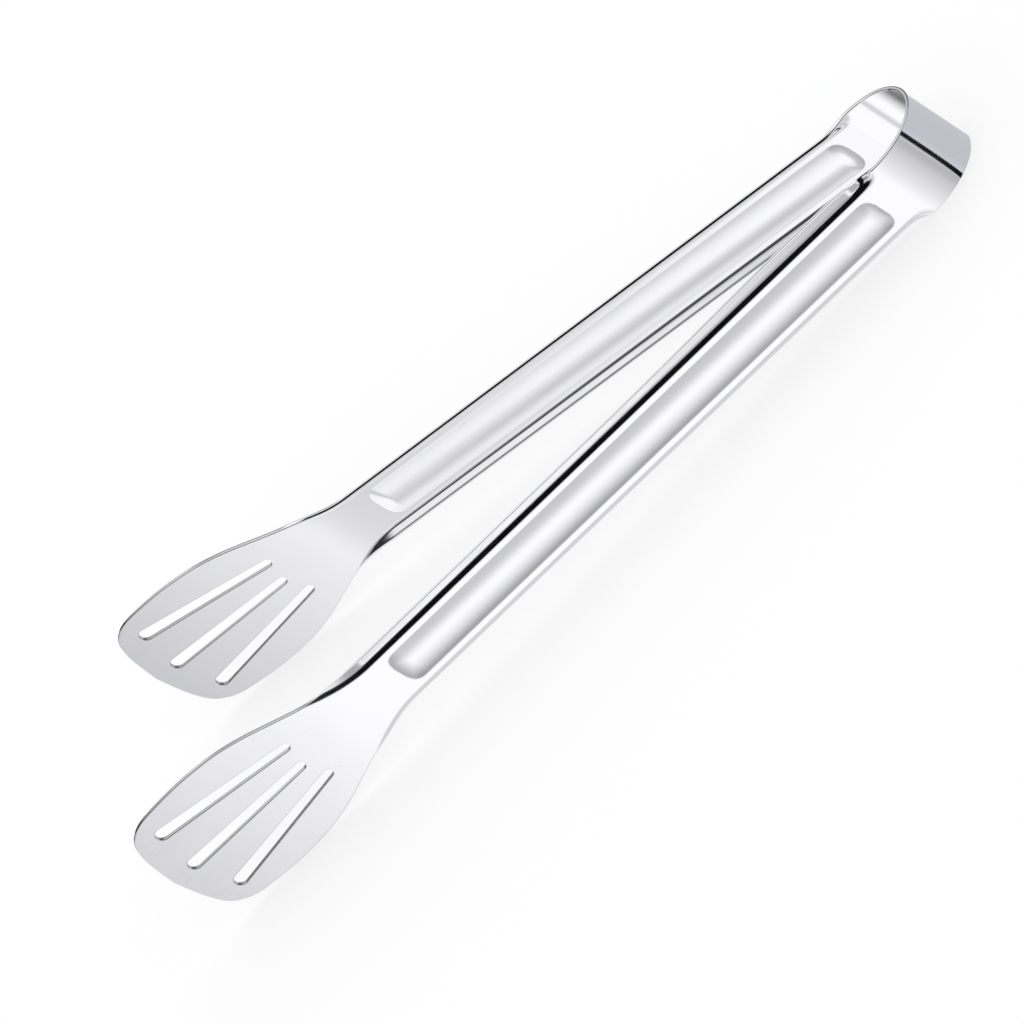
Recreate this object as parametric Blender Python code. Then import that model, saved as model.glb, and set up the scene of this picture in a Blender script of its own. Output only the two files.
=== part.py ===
import bmesh
import bpy
import numpy as np
from math import atan2, cos, degrees, pi, radians, sin, sqrt, tan
from mathutils import Matrix, Vector

# Serving tongs, pressed from one strip of sheet and lying on their side.
# All lengths are in metres and all angles are in degrees.
# The strip is described in its own frame first: the nose of the bow is at zero, x runs from the
# blades toward the nose, y is the opening direction and z runs across the width of the strip.
# A place along the strip is its distance from the nose.

# Sheet and strip
SHEET = 0.0011
STRIP_WIDTH = 0.0228
TOTAL_LENGTH = 0.301

# Bow, measured on its outside. The crown is its middle zone, out to this angle on each side.
BOW_DEPTH = 0.0185
BOW_HEIGHT = 0.0280
CROWN_HALF_ANGLE = 49.0

# Arms: how they leave the bow, and the edges folded inward along the handles
ARM_FLARE_ANGLE = 5.7
FLARE_RADIUS = 0.040
NECK_LENGTH = 0.0085
FLANGE_LENGTH = 0.00215
FOLD_ANGLE = 52.0
FOLD_RADIUS = 0.0013

# Shallow trough pressed into the outside of each handle. Its ends round off over the end length,
# with corners that are fuller than an ellipse where the roundness is above 2.
GROOVE_BOW_MARGIN = 0.0062
GROOVE_BLADE_MARGIN = 0.0034
GROOVE_SIDE_MARGIN = 0.0013
GROOVE_DEPTH = 0.0007
GROOVE_END_LENGTH = 0.0050
GROOVE_ROUNDNESS = 3.3
GROOVE_COLUMN_SHARES = (0.0, 0.3, 0.6, 0.85, 1.0)

# Blades. The folds of the handle run out over the edge in the first stretch of the blade's length.
# The least bend is the width of sheet that the bend's points keep where it has run out.
BLADE_LENGTH = 0.088
BLADE_WIDTH = 0.045
FADE_LENGTH = 0.025
LEAST_BEND = 0.0005
BLADE_TURN_ANGLE = 1.9
BLADE_TURN_SHARE = 0.48

# Slots of a blade, fanned out toward the tip
SLOT_TIP_WIDTH = 0.0038
SLOT_ROOT_WIDTH = 0.0027
SLOT_ROOT_MARGIN = 0.0070
SLOT_ROOT_RIB = 0.0048
SLOT_SIDE_MARGIN = 0.0082
MIDDLE_SLOT_MARGIN = 0.0068
SIDE_SLOT_MARGIN = 0.0097

# Gap left between neighbouring zones of the strip, and how far a cutter passes a face
CUT_GAP = 0.0003
CUT_OVERRUN = 0.002

# Steel of each zone: colour, roughness
MIRROR_STEEL = ((0.80, 0.80, 0.82, 1.0), 0.12)
SATIN_STEEL = ((0.72, 0.72, 0.75, 1.0), 0.28)

# Where the blade widens: share of its length, share of the widening from strip to full width
SHOULDER_SHARES = (
    (0.000, 0.000), (0.080, 0.008), (0.136, 0.041), (0.193, 0.101), (0.250, 0.215),
    (0.307, 0.369), (0.364, 0.531), (0.420, 0.684), (0.477, 0.811), (0.534, 0.905),
    (0.591, 0.959), (0.676, 1.000),
)
# Where it rounds off to the tip: share of its length, share of its half width
TIP_SHARES = (
    (0.761, 0.993), (0.852, 0.964), (0.898, 0.920), (0.926, 0.862), (0.949, 0.791),
    (0.968, 0.667), (0.984, 0.467), (0.994, 0.222), (1.000, 0.000),
)

# Points across the folded edge, as shares of the bend or of what the edge leaves of it
BEND_SHARES = (0.0, 0.5, 1.0)
EDGE_BEND_SHARE = 0.8

# Number of steps in the curved stretches, and the edge angle above which shading is sharp
CROWN_STEPS = 16
SHOULDER_STEPS = 8
NECK_STEPS = 9
STRAIGHT_STEPS = 6
GROOVE_END_STEPS = 5
FADE_STEPS = 12
EDGE_STEPS = 4
SLOT_END_STEPS = 8
SLOPE_STEPS = 600
SHARP_ANGLE = 35.0

# Places along the strip and sizes across it that follow from the ones above
HANDLE_END = TOTAL_LENGTH - BLADE_LENGTH
FLAT_START = HANDLE_END + FADE_LENGTH
BEND_RADIUS = FOLD_RADIUS + SHEET / 2.0
BEND_LENGTH = radians(FOLD_ANGLE) * BEND_RADIUS
FACE_HALF = STRIP_WIDTH / 2.0 - BEND_LENGTH - FLANGE_LENGTH
GROOVE_START = BOW_DEPTH + GROOVE_BOW_MARGIN
GROOVE_END = HANDLE_END - GROOVE_BLADE_MARGIN
GROOVE_HALF = FACE_HALF - GROOVE_SIDE_MARGIN
SLOT_LENGTH = BLADE_LENGTH - FADE_LENGTH - SLOT_ROOT_MARGIN - SIDE_SLOT_MARGIN


def ease(share):
    # Smooth step from 0 to 1.
    t = min(max(share, 0.0), 1.0)
    return t * t * (3.0 - 2.0 * t)


def smooth_curve(points):
    # Catmull-Rom curve through the points, with the end points kept.
    pts = np.array(points)
    padded = np.vstack([2.0 * pts[0] - pts[1], pts, 2.0 * pts[-1] - pts[-2]])
    curve = []
    for i in range(len(pts) - 1):
        a, b, c, d = padded[i:i + 4]
        for step in range(EDGE_STEPS):
            t = step / EDGE_STEPS
            curve.append(0.5 * (2.0 * b + (c - a) * t + (2.0 * a - 5.0 * b + 4.0 * c - d) * t * t
                                + (3.0 * b - a - 3.0 * c + d) * t ** 3))
    curve.append(pts[-1])
    return np.array(curve)


def blade_edge():
    # Place along the strip and half width, for points along the edge of the blade.
    strip_half = STRIP_WIDTH / 2.0
    blade_half = BLADE_WIDTH / 2.0
    points = [(HANDLE_END + share * BLADE_LENGTH, strip_half + widening * (blade_half - strip_half))
              for share, widening in SHOULDER_SHARES]
    points += [(HANDLE_END + share * BLADE_LENGTH, width_share * blade_half)
               for share, width_share in TIP_SHARES]
    return smooth_curve(points)


EDGE = blade_edge()


def bow_point(angle):
    # Middle of the sheet on the half ellipse of the bow, and its outward direction.
    depth = BOW_DEPTH - SHEET / 2.0
    half = BOW_HEIGHT / 2.0 - SHEET / 2.0
    point = Vector((depth * cos(angle) - BOW_DEPTH, half * sin(angle), 0.0))
    outward = Vector((half * cos(angle), depth * sin(angle), 0.0)).normalized()
    return point, outward


def arm_slope(along):
    # Angle between the arm and the length, in radians. The arm flares out of the bow, runs
    # straight and turns in again by a little where the folds fade out.
    flare = radians(ARM_FLARE_ANGLE)
    if along < BOW_DEPTH + FLARE_RADIUS * sin(flare):
        return np.arcsin(max(along - BOW_DEPTH, 0.0) / FLARE_RADIUS)
    turn_length = FADE_LENGTH * BLADE_TURN_SHARE
    turn_start = HANDLE_END + (FADE_LENGTH - turn_length) / 2.0
    return flare - radians(BLADE_TURN_ANGLE) * ease((along - turn_start) / turn_length)


def arm_table():
    # Running sum of the slope, which gives the height of the arm along its length.
    along = np.linspace(BOW_DEPTH, TOTAL_LENGTH, SLOPE_STEPS)
    slope = np.array([tan(arm_slope(place)) for place in along])
    rise = np.concatenate([[0.0], np.cumsum((slope[1:] + slope[:-1]) / 2.0 * np.diff(along))])
    return along, rise + BOW_HEIGHT / 2.0 - SHEET / 2.0


ARM_ALONG, ARM_HEIGHT = arm_table()


def arm_point(along):
    # Middle of the sheet on the upper arm, and its outward direction.
    height = float(np.interp(along, ARM_ALONG, ARM_HEIGHT))
    slope = arm_slope(along)
    return Vector((-along, height, 0.0)), Vector((sin(slope), cos(slope), 0.0))


def half_width(along):
    # Half of the unfolded width of the strip.
    if along <= HANDLE_END:
        return STRIP_WIDTH / 2.0
    return float(np.interp(along, EDGE[:, 0], EDGE[:, 1]))


def bend_start(along):
    # Where the bend begins across the sheet. It runs in from the edge over the neck, keeps the
    # face of the handle, and runs out over the edge again where the blade begins.
    if along < HANDLE_END:
        fold = ease((along - BOW_DEPTH) / NECK_LENGTH)
    else:
        fold = 1.0 - ease((along - HANDLE_END) / FADE_LENGTH)
    half = half_width(along)
    return half + (FACE_HALF - half) * fold


def groove_depth(along, across):
    # The trough is a parabola across the strip, and its ends come up on the same curve.
    from_end = min(along - GROOVE_START, GROOVE_END - along)
    end_share = max(1.0 - from_end / GROOVE_END_LENGTH, 0.0)
    side_share = abs(across) / GROOVE_HALF
    power = end_share ** GROOVE_ROUNDNESS + side_share ** GROOVE_ROUNDNESS
    return GROOVE_DEPTH * max(1.0 - power ** (2.0 / GROOVE_ROUNDNESS), 0.0)


def folded(along, across):
    # Inward offset and z of a place on the unfolded sheet: flat up to the bend, then on its
    # circle, then straight along the flange.
    start = bend_start(along)
    turn = min(max((across - start) / BEND_RADIUS, 0.0), radians(FOLD_ANGLE))
    past = max(across - start - BEND_LENGTH, 0.0)
    inward = BEND_RADIUS * (1.0 - cos(turn)) + past * sin(turn)
    return inward, min(across, start) + BEND_RADIUS * sin(turn) + past * cos(turn)


def section(along):
    # Middle of the sheet across the strip, as inward offset and z, from one edge to the other.
    half = half_width(along)
    start = min(bend_start(along), half - LEAST_BEND)
    bend = min(BEND_LENGTH, EDGE_BEND_SHARE * (half - start))
    points = [(groove_depth(along, share * GROOVE_HALF), share * GROOVE_HALF)
              for share in GROOVE_COLUMN_SHARES]
    points += [folded(along, start + share * bend) for share in BEND_SHARES]
    points.append(folded(along, half))
    mirrored = [(inward, -z) for inward, z in reversed(points[1:])]
    return mirrored + points


def sheet_rows(place, profile):
    # Outer and inner points of the sheet for one station along the strip.
    point, outward = place
    middle = np.array(profile)
    run = np.gradient(middle, axis=0)
    run /= np.linalg.norm(run, axis=1)[:, None]
    outer = []
    inner = []
    for (inward, z), (run_in, run_z) in zip(middle, run):
        base = point - outward * inward + Vector((0.0, 0.0, z))
        normal = outward * run_z + Vector((0.0, 0.0, run_in))
        outer.append(base + normal * SHEET / 2.0)
        inner.append(base - normal * SHEET / 2.0)
    return outer, inner


def closed_mesh(name, verts, faces):
    # Mesh of one closed body with its faces pointing out.
    mesh = bpy.data.meshes.new(name)
    mesh.from_pydata(verts, [], faces)
    body = bmesh.new()
    body.from_mesh(mesh)
    bmesh.ops.recalc_face_normals(body, faces=body.faces)
    body.to_mesh(mesh)
    body.free()
    return mesh


def sheet_mesh(name, stations, side, pivot):
    # Closed solid through all stations. side is 1 for the upper arm and -1 for the lower one.
    count = len(stations[0][0])
    ring = 2 * count
    verts = []
    for outer, inner in stations:
        for co in outer + inner:
            verts.append((co.x - pivot.x, side * co.y - pivot.y, co.z - pivot.z))
    faces = []
    for here in range(0, (len(stations) - 1) * ring, ring):
        after = here + ring
        for k in range(count - 1):
            low = here + count + k
            faces.append((here + k, after + k, after + k + 1, here + k + 1))
            faces.append((low, low + 1, low + 1 + ring, low + ring))
        top = here + count - 1
        faces.append((here, here + count, after + count, after))
        faces.append((top, top + ring, top + ring + count, top + count))
    last = (len(stations) - 1) * ring
    for k in range(count - 1):
        faces.append((k, k + 1, count + k + 1, count + k))
        faces.append((last + k, last + count + k, last + count + k + 1, last + k + 1))
    return closed_mesh(name, verts, faces)


def plate(name, outline, thickness, place):
    # Flat plate with the outline in x and z, centred on y and then put in its place.
    count = len(outline)
    verts = [place @ Vector((x, thickness / 2.0, z)) for x, z in outline]
    verts += [place @ Vector((x, -thickness / 2.0, z)) for x, z in outline]
    faces = [tuple(range(count)), tuple(reversed(range(count, 2 * count)))]
    for k in range(count):
        after = (k + 1) % count
        faces.append((k, k + count, after + count, after))
    return closed_mesh(name, verts, faces)


def steel(name, finish):
    colour, roughness = finish
    material = bpy.data.materials.new(name + "_steel")
    material.use_nodes = True
    shader = material.node_tree.nodes["Principled BSDF"]
    shader.inputs["Base Color"].default_value = colour
    shader.inputs["Metallic"].default_value = 1.0
    shader.inputs["Roughness"].default_value = roughness
    return material


def add_piece(name, mesh, parent, finish):
    piece = bpy.data.objects.new(name, mesh)
    bpy.context.collection.objects.link(piece)
    piece.parent = parent
    mesh.materials.append(steel(name, finish))
    mesh.shade_smooth()
    mesh.set_sharp_from_angle(angle=radians(SHARP_ANGLE))
    return piece


def add_cutter(name, mesh, parent):
    cutter = bpy.data.objects.new(name, mesh)
    bpy.context.collection.objects.link(cutter)
    cutter.parent = parent
    cutter.hide_render = True
    cutter.display_type = "WIRE"
    return cutter


def add_empty(name, parent, location):
    empty = bpy.data.objects.new(name, None)
    bpy.context.collection.objects.link(empty)
    empty.empty_display_size = BOW_DEPTH
    empty.parent = parent
    empty.location = location
    return empty


def bow_stations(first, last, steps):
    flat = ((0.0, -STRIP_WIDTH / 2.0), (0.0, 0.0), (0.0, STRIP_WIDTH / 2.0))
    angles = np.linspace(first, last, steps + 1)
    return [sheet_rows(bow_point(angle), flat) for angle in angles]


def handle_places():
    # Stations are close where the shape changes and far apart where it is straight.
    neck_start = BOW_DEPTH + CUT_GAP
    neck = np.linspace(neck_start, BOW_DEPTH + NECK_LENGTH, NECK_STEPS + 1)
    rounding = np.linspace(0.0, GROOVE_END_LENGTH, GROOVE_END_STEPS + 1)
    straight = np.linspace(GROOVE_START, GROOVE_END, STRAIGHT_STEPS + 1)
    fade = np.linspace(HANDLE_END, FLAT_START, FADE_STEPS + 1)
    wanted = np.concatenate([neck, GROOVE_START + rounding, straight, GROOVE_END - rounding, fade])
    places = [neck_start]
    for place in sorted(wanted):
        if place - places[-1] > CUT_GAP:
            places.append(place)
    return places


def build_bow(parent, pivots):
    crown = radians(CROWN_HALF_ANGLE)
    stations = bow_stations(-crown, crown, CROWN_STEPS)
    mesh = sheet_mesh("bow_crown", stations, 1, Vector((0.0, 0.0, 0.0)))
    add_piece("bow_crown", mesh, parent, MIRROR_STEEL)
    joint, _ = bow_point(crown)
    stations = bow_stations(crown + CUT_GAP / joint.length, pi / 2.0, SHOULDER_STEPS)
    for side, tag, hinge, pivot in pivots:
        name = "bow_shoulder_" + tag
        add_piece(name, sheet_mesh(name, stations, side, pivot), hinge, MIRROR_STEEL)


def build_handles(pivots):
    stations = [sheet_rows(arm_point(along), section(along)) for along in handle_places()]
    for side, tag, hinge, pivot in pivots:
        name = "handle_" + tag
        add_piece(name, sheet_mesh(name, stations, side, pivot), hinge, MIRROR_STEEL)


def slot_outline(tip, middle, tilt):
    # A tapered slot with round ends. tip is its end nearest the blade tip, along the blade.
    tip_radius = SLOT_TIP_WIDTH / 2.0
    root_radius = SLOT_ROOT_WIDTH / 2.0
    outline = []
    for centre, radius, start in ((tip_radius, tip_radius, pi / 2.0),
                                  (SLOT_LENGTH - root_radius, root_radius, -pi / 2.0)):
        for turn in np.linspace(start, start + pi, SLOT_END_STEPS + 1):
            x = centre + radius * cos(turn)
            z = radius * sin(turn)
            outline.append((tip + x * cos(tilt) + z * sin(tilt), middle - x * sin(tilt) + z * cos(tilt)))
    return outline


def slot_places():
    # Tip end of each slot, height of its middle line there, and its fan angle in radians.
    tip_height = BLADE_WIDTH / 2.0 - SLOT_SIDE_MARGIN
    root_height = SLOT_ROOT_WIDTH + SLOT_ROOT_RIB
    fan = atan2(tip_height - root_height, SLOT_LENGTH)
    side_tip = SIDE_SLOT_MARGIN - TOTAL_LENGTH
    middle_tip = MIDDLE_SLOT_MARGIN - TOTAL_LENGTH
    return ((side_tip, tip_height, fan), (middle_tip, 0.0, 0.0), (side_tip, -tip_height, -fan))


def blade_outline(start):
    rows = [(along, half) for along, half in EDGE if along > start]
    rows.insert(0, (start, half_width(start)))
    upper = [(-along, half) for along, half in rows]
    lower = [(-along, -half) for along, half in reversed(rows[:-1])]
    return upper + lower


def build_blades(pivots):
    start = FLAT_START + CUT_GAP
    foot, outward = arm_point(start)
    lean = Matrix.Rotation(-atan2(outward.x, outward.y), 4, "Z")
    for side, tag, hinge, pivot in pivots:
        name = "blade_" + tag
        mirror = Matrix.Diagonal((1.0, side, 1.0, 1.0))
        place = (Matrix.Translation(-pivot) @ mirror @ Matrix.Translation(foot) @ lean
                 @ Matrix.Translation((start, 0.0, 0.0)))
        mesh = plate(name, blade_outline(start), SHEET, place)
        blade = add_piece(name, mesh, hinge, SATIN_STEEL)
        for number, (tip, middle, tilt) in enumerate(slot_places()):
            cutter_name = "slot_{}_{}_cutter".format(tag, number + 1)
            cutter_mesh = plate(cutter_name, slot_outline(tip, middle, tilt), SHEET + CUT_OVERRUN, place)
            cut = blade.modifiers.new(cutter_name, "BOOLEAN")
            cut.operation = "DIFFERENCE"
            cut.object = add_cutter(cutter_name, cutter_mesh, hinge)


def rest_angle():
    # Lying on their side, the tongs touch the table with the nose and with both blade edges.
    nose = STRIP_WIDTH / 2.0
    return max(atan2(half - nose, along) for along, half in EDGE)


def stand_on_table(root):
    # The origin goes under the middle of the whole object, at table height.
    bpy.context.view_layer.update()
    corners = []
    for piece in bpy.data.objects:
        if piece.type == "MESH" and not piece.hide_render:
            corners += [piece.matrix_world @ vertex.co for vertex in piece.data.vertices]
    low = [min(corner[axis] for corner in corners) for axis in range(3)]
    high = [max(corner[axis] for corner in corners) for axis in range(3)]
    root.location = (-(low[0] + high[0]) / 2.0, -(low[1] + high[1]) / 2.0, -low[2])
    bpy.context.view_layer.update()


def closing_angle():
    # Turn of each arm about its hinge that brings the inner faces of the tips together.
    joint, _ = bow_point(radians(CROWN_HALF_ANGLE))
    tip, outward = arm_point(TOTAL_LENGTH)
    reach = tip - outward * SHEET / 2.0 - joint
    length = sqrt(reach.x ** 2 + reach.y ** 2)
    open_angle = atan2(reach.y, -reach.x)
    shut_angle = atan2(CUT_GAP / 2.0 - joint.y, length)
    return open_angle - shut_angle


def main():
    for old in list(bpy.data.objects):
        bpy.data.objects.remove(old)
    root = add_empty("lying_on_side", None, (0.0, 0.0, 0.0))
    root.rotation_euler = (0.0, rest_angle(), 0.0)
    joint, _ = bow_point(radians(CROWN_HALF_ANGLE))
    pivots = []
    for side, tag in ((1, "upper"), (-1, "lower")):
        pivot = Vector((joint.x, side * joint.y, 0.0))
        pivots.append((side, tag, add_empty("hinge_" + tag, root, pivot), pivot))
    build_bow(root, pivots)
    build_handles(pivots)
    build_blades(pivots)
    stand_on_table(root)
    for _, tag, hinge, _ in pivots:
        place = hinge.matrix_world
        print("hinge", tag, tuple(place.translation), "axis", tuple(place.col[2])[:3])
    print("closing angle in degrees", degrees(closing_angle()))


main()
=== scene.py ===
import bmesh
import bpy
import numpy as np
from mathutils import Matrix, Vector


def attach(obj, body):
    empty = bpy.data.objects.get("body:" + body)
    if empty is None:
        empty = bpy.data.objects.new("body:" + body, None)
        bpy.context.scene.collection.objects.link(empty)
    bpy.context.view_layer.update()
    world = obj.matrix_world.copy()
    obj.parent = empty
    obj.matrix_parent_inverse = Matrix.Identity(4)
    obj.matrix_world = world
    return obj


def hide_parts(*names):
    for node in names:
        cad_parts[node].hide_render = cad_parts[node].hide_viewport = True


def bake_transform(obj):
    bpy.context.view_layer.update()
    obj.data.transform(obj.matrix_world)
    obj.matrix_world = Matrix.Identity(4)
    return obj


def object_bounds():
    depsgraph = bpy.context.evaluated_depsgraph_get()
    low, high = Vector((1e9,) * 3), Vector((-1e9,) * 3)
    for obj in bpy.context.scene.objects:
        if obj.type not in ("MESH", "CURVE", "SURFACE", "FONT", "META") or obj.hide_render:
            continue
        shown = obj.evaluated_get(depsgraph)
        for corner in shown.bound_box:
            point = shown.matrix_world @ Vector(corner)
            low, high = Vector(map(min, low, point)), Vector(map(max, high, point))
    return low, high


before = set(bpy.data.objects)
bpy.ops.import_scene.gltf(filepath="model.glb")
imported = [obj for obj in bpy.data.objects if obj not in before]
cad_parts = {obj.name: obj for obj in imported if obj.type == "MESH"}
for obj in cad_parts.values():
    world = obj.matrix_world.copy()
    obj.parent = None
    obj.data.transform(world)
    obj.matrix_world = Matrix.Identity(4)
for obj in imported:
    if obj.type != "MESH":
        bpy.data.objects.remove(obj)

lowCorner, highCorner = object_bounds()
print("frame loaded")

# The strip lies in its own frame first: x runs from the blades to the nose of the bow at zero,
# y is the opening direction and z runs across. "along" is the distance from the nose.
strip = {
    "sheet": 0.0011,
    "width": 0.0228,
    "length": 0.301,
    "rimRadius": 0.0003,     # round of the deburred edges
    "rimSteps": 4,
    "step": 0.0003,          # spacing of the rows where the shape changes
    "longStep": 0.0022,      # spacing where it is straight
    "leastStep": 0.05,       # share of a step that rows keep apart
    "tipRows": 0.93,         # share of the length past which rows follow the outline's points
    "behindTip": 0.01,       # share of the blade from the tip to a point in its sheet
    "sharpAngle": np.radians(40.0),
}
halfSheet = strip["sheet"] / 2.0
halfStrip = strip["width"] / 2.0
samePoint = 1e-6             # points nearer than this are one
noWidth = 1e-7               # a slot or an edge smaller than this isn't there
leastLength = 1e-12          # keeps a division by a length finite

bow = {
    "depth": 0.0185,
    "height": 0.0280,
    "steps": 120,            # rows on the quarter from nose to arm
}

handle = {
    "flare": np.radians(5.7),
    "flareRadius": 0.040,
    "flange": 0.00215,
    "fold": np.radians(52.0),
    "foldRadius": 0.0013,
    "marginColumns": 4,
    "bendColumns": 12,
    "flangeColumns": 4,
    "leastBend": 0.0005,     # columns of the bend stay this wide where the fold has run out
    "leastFlange": 0.2,      # share of the folded edge that the columns of the flange keep
    "leastFold": 1e-6,       # keeps the bend's circle finite where the sheet is flat
    "neckPower": 2.5,        # how steeply the fold runs in from the edge over the neck
    "lineSteps": 6000,       # samples of the arm's middle line
}
bendLength = handle["fold"] * (handle["foldRadius"] + halfSheet)
faceHalf = halfStrip - bendLength - handle["flange"]

blade = {
    "length": 0.088,
    "width": 0.045,
    "fade": 0.025,           # the folds run out over this length
    "turn": np.radians(1.9),
    "turnShare": 0.48,
    "seamMargin": 0.002,     # flat sheet that stays with the handle
    "outlineSteps": 10,
}
handleEnd = strip["length"] - blade["length"]
flatStart = handleEnd + blade["fade"]
pieceSeam = flatStart + blade["seamMargin"]

# How each arm leaves the bow: where its edges begin to fold in, the length over which the bend
# runs in from the edge, the one over which it reaches its full angle, how much wider the bend is
# at first, the length over which it narrows, how much further the flange reaches by the neck,
# and where the groove starts. The strip isn't pressed quite evenly, so the lower arm's marks lie
# nearer to the nose.
necks = {
    "upper": {"start": 0.0185, "run": 0.0060, "turn": 0.0122, "wider": 0.0, "narrowing": 0.0130,
              "reach": 0.0, "groove": 0.0290},
    "lower": {"start": 0.0138, "run": 0.0050, "turn": 0.0082, "wider": 1.3, "narrowing": 0.0122,
              "reach": 0.0010, "groove": 0.0229},
}
reachRise = (0.020, 0.032)    # the flange reaches further from the first place to the second
reachFall = (0.040, 0.120)    # and falls back between these two

groove = {
    "bladeMargin": 0.0034,
    "sideMargin": 0.0013,
    "depth": 0.0007,
    "endLength": 0.0050,     # the ends round off over this length
    "roundness": 3.3,        # 2 is an ellipse, more is fuller in the corners
    "rimEase": 0.07,         # share of the depth over which the rim is softened
    "columns": 22,
    "crowding": 1.5,         # how closely the columns crowd toward the rim
}
grooveEnd = handleEnd - groove["bladeMargin"]
grooveHalf = faceHalf - groove["sideMargin"]

slots = {
    "tipWidth": 0.0038,
    "rootWidth": 0.0027,
    "rootMargin": 0.0070,
    "rootRib": 0.0048,
    "sideMargin": 0.0082,
    "middleTip": 0.0068,     # sheet left between the middle slot and the tip
    "sideTip": 0.0097,
    "endSteps": 20,
}
slotLength = blade["length"] - blade["fade"] - slots["rootMargin"] - slots["sideTip"]

# share of the blade's length, share of the widening from strip to full width
shoulderShares = np.array([
    (0.000, 0.000), (0.080, 0.008), (0.136, 0.041), (0.193, 0.101), (0.250, 0.215),
    (0.307, 0.369), (0.364, 0.531), (0.420, 0.684), (0.477, 0.811), (0.534, 0.905),
    (0.591, 0.959), (0.676, 1.000),
])
# share of the blade's length, share of its half width
tipShares = np.array([
    (0.761, 0.993), (0.852, 0.964), (0.898, 0.920), (0.926, 0.862), (0.949, 0.791),
    (0.968, 0.667), (0.984, 0.467), (0.994, 0.222), (1.000, 0.000),
])


def ease(share):
    # smooth step from 0 to 1: 3 t^2 - 2 t^3
    t = np.clip(share, 0.0, 1.0)
    return t * t * (3.0 - 2.0 * t)


def smoothCurve(points, steps):
    # Catmull-Rom: each span is the cubic through its two ends with slopes from their neighbours
    padded = np.vstack([2.0 * points[0] - points[1], points, 2.0 * points[-1] - points[-2]])
    t = (np.arange(steps) / steps)[None, :, None]
    a, b, c, d = (padded[k:k + len(points) - 1, None, :] for k in range(4))
    spans = 0.5 * (2.0 * b + (c - a) * t + (2.0 * a - 5.0 * b + 4.0 * c - d) * t ** 2
                   + (3.0 * b - a - 3.0 * c + d) * t ** 3)
    return np.vstack([spans.reshape(-1, 2), points[-1]])


def unit(vectors):
    return vectors / np.maximum(np.linalg.norm(vectors, axis=-1, keepdims=True), leastLength)


def offsetCurve(curve, distance):
    # every point moves along the curve's left normal
    run = unit(np.gradient(curve, axis=0))
    return curve + distance * np.column_stack([-run[:, 1], run[:, 0]])


def bladeOutline():
    # (along, half width) from the end of the handle to the tip, set in by the rim's round
    halfBlade = blade["width"] / 2.0
    widths = np.concatenate([halfStrip + shoulderShares[:, 1] * (halfBlade - halfStrip),
                             tipShares[:, 1] * halfBlade])
    shares = np.concatenate([shoulderShares[:, 0], tipShares[:, 0]])
    curve = smoothCurve(np.column_stack([handleEnd + shares * blade["length"], widths]),
                        blade["outlineSteps"])
    inset = offsetCurve(curve, -strip["rimRadius"])
    inset[-1] = (strip["length"] - strip["rimRadius"], 0.0)
    return curve, inset


outline, insetOutline = bladeOutline()


def halfWidth(along):
    return np.where(along <= handleEnd, halfStrip - strip["rimRadius"],
                    np.interp(along, insetOutline[:, 0], insetOutline[:, 1]))


def edgePlace(along, neck):
    # the free edge of the strip, with the flange's further reach by the neck
    rise = ease((along - reachRise[0]) / (reachRise[1] - reachRise[0]))
    fall = 1.0 - ease((along - reachFall[0]) / (reachFall[1] - reachFall[0]))
    return halfWidth(along) + neck["reach"] * rise * fall


def slotLoop(tip, middle, tilt):
    # a tapered slot: half circles at both ends, widened by the rim's round, turned by the tilt
    turn = np.linspace(0.0, np.pi, slots["endSteps"] + 1)
    tipRadius = slots["tipWidth"] / 2.0
    rootRadius = slots["rootWidth"] / 2.0
    tipArc = np.column_stack([tipRadius - (tipRadius + strip["rimRadius"]) * np.sin(turn),
                              (tipRadius + strip["rimRadius"]) * np.cos(turn)])
    rootArc = np.column_stack([
        slotLength - rootRadius + (rootRadius + strip["rimRadius"]) * np.sin(turn),
        -(rootRadius + strip["rimRadius"]) * np.cos(turn)])
    loop = np.vstack([tipArc, rootArc])
    back = loop[:, 0] * np.cos(tilt) + loop[:, 1] * np.sin(tilt)
    across = middle - loop[:, 0] * np.sin(tilt) + loop[:, 1] * np.cos(tilt)
    return np.column_stack([tip - back, across])


def slotWalls(loop):
    # the loop split at its two ends into an inner and an outer wall, each as (along, across)
    first, last = loop[:, 0].argmin(), loop[:, 0].argmax()
    turned = np.roll(loop, -first, axis=0)
    split = (last - first) % len(loop)
    one = turned[:split + 1]
    other = np.vstack([turned[split:], turned[:1]])[::-1]
    return (one, other) if one[:, 1].mean() < other[:, 1].mean() else (other, one)


fanTipHeight = blade["width"] / 2.0 - slots["sideMargin"]
fanRootHeight = slots["rootWidth"] + slots["rootRib"]
fan = np.arctan2(fanTipHeight - fanRootHeight, slotLength)
middleLoop = slotLoop(strip["length"] - slots["middleTip"], 0.0, 0.0)
sideLoop = slotLoop(strip["length"] - slots["sideTip"], fanTipHeight, fan)
_, middleWall = slotWalls(middleLoop)
sideInner, sideOuter = slotWalls(sideLoop)


def armSlope(along):
    # flares out of the bow on an arc, runs straight, and turns in a little before the blade
    turnLength = blade["fade"] * blade["turnShare"]
    turnStart = handleEnd + (blade["fade"] - turnLength) / 2.0
    arc = np.arcsin(np.clip((along - bow["depth"]) / handle["flareRadius"], 0.0,
                            np.sin(handle["flare"])))
    return arc - blade["turn"] * ease((along - turnStart) / turnLength)


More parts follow.
